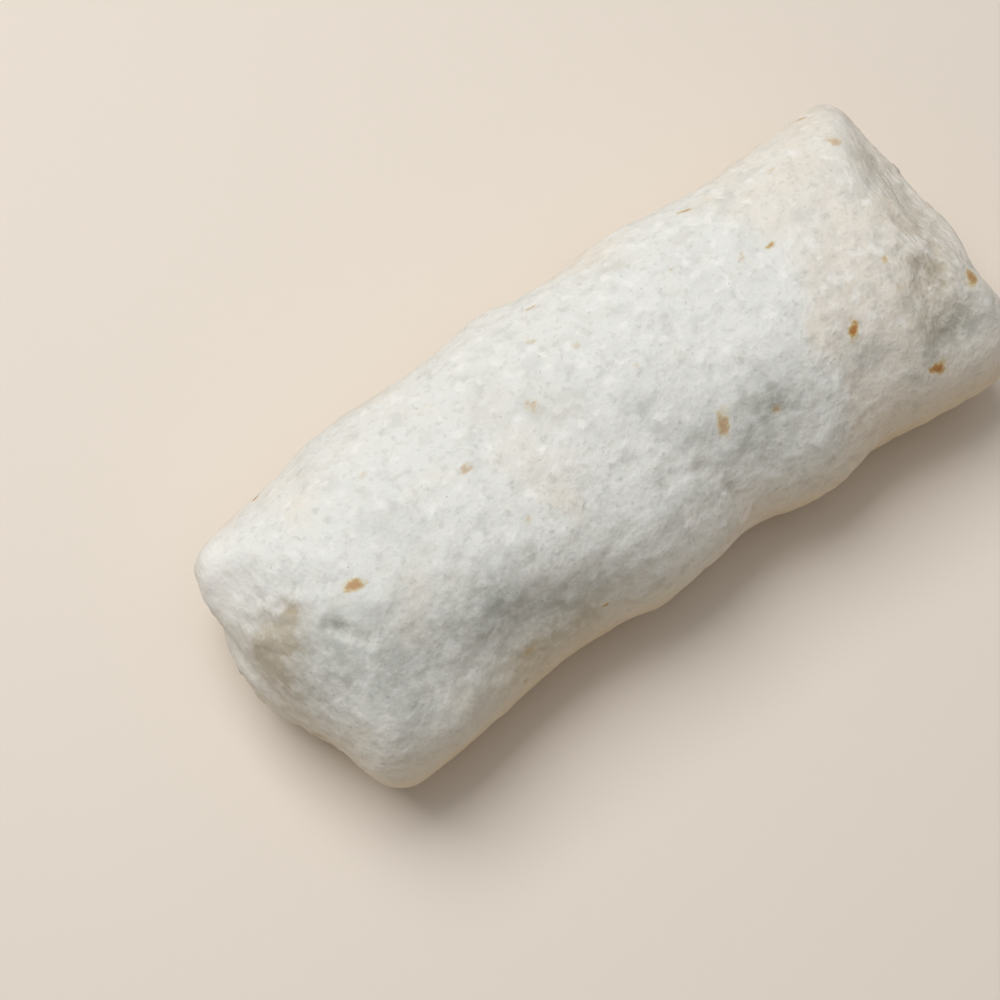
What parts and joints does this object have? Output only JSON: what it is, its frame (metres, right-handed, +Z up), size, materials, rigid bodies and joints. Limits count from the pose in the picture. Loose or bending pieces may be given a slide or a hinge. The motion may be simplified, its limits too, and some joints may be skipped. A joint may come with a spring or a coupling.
{
  "type": "burrito",
  "caption": "Large flour-tortilla burrito, rolled shut with both ends tucked in, lying seam side down as a soft oval log with a flattened underside.",
  "frame": {"origin": "middle of the base", "axes": "+X along the roll, +Z up, -Y the front long side"},
  "size_m": [0.181, 0.0764, 0.0506],
  "materials": {
    "tortilla": "matte soft flour tortilla, off-white with grey mottling and a few toasted tan spots"
  },
  "bodies": {
    "root": {"tortilla": "tortilla"}
  },
  "joints": []
}
